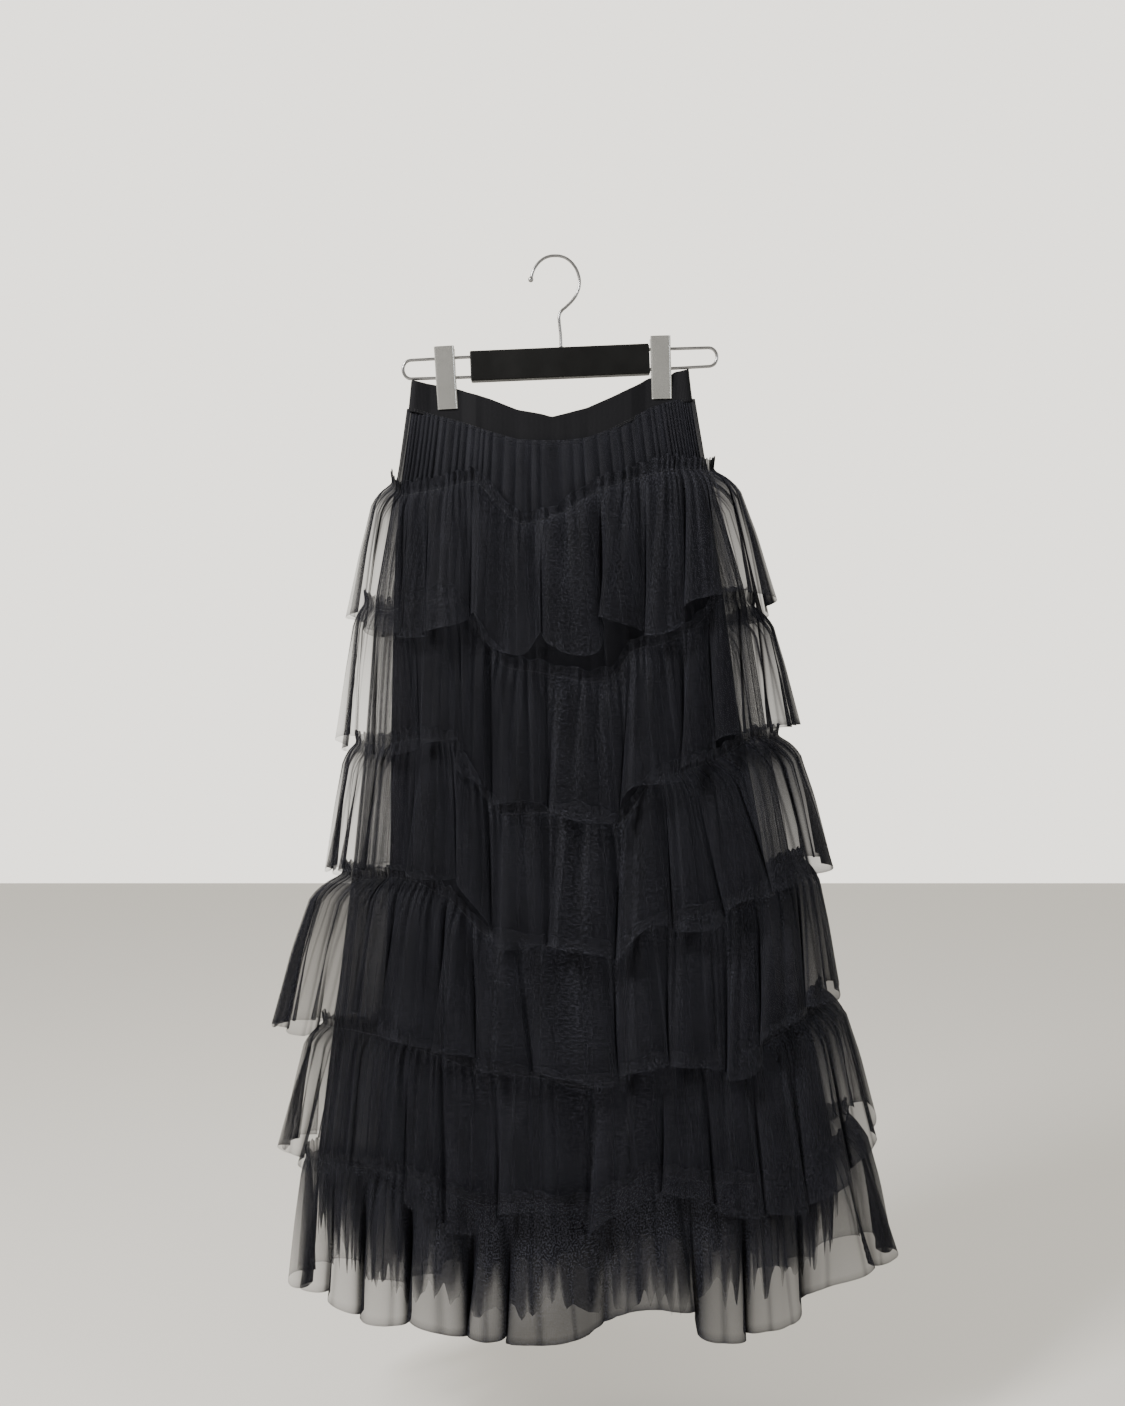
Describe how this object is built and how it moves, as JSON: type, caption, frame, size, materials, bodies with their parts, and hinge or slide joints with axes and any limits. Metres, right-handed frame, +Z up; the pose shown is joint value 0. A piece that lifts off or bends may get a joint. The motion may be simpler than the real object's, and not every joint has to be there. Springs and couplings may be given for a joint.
{
  "type": "tiered tulle maxi skirt on a clip hanger",
  "caption": "Long black skirt with an elastic waistband, an opaque lining and tiers of gathered tulle ruffles, hung by two clips from a trouser hanger with a wire hook.",
  "frame": {"origin": "inside top of the hanger's wire hook, where a rod or wall hook holds it", "axes": "+Z up; -Y out of the front of the skirt, +Y towards the wall it hangs near; +X towards the right side as seen from the front"},
  "size_m": [0.613, 0.185, 1.0377],
  "materials": {
    "chrome": "polished chrome plate",
    "bar_plastic": "satin black plastic",
    "elastic": "matt black woven elastic",
    "lining": "smooth black woven lining",
    "tulle": "fine black net, see-through in one layer"
  },
  "bodies": {
    "root": {"hanger_bar": "bar_plastic", "rail_wire": "chrome", "hook_wire": "chrome", "hook_ball": "chrome", "clip_left_front": "chrome", "clip_left_back": "chrome", "clip_left_spring": "chrome", "clip_right_front": "chrome", "clip_right_back": "chrome", "clip_right_spring": "chrome", "waistband_front_left": "elastic", "waistband_front_right": "elastic", "waistband_back_left": "elastic", "waistband_back_right": "elastic", "lining_front": "lining", "lining_back": "lining", "tulle_base_front": "tulle", "tulle_base_back": "tulle", "tier1_front": "tulle", "tier1_back": "tulle", "tier2_front": "tulle", "tier2_back": "tulle", "tier3_front": "tulle", "tier3_back": "tulle", "tier4_front": "tulle", "tier4_back": "tulle", "tier5_front": "tulle", "tier5_back": "tulle", "tier6_front": "tulle", "tier6_back": "tulle"}
  },
  "joints": []
}
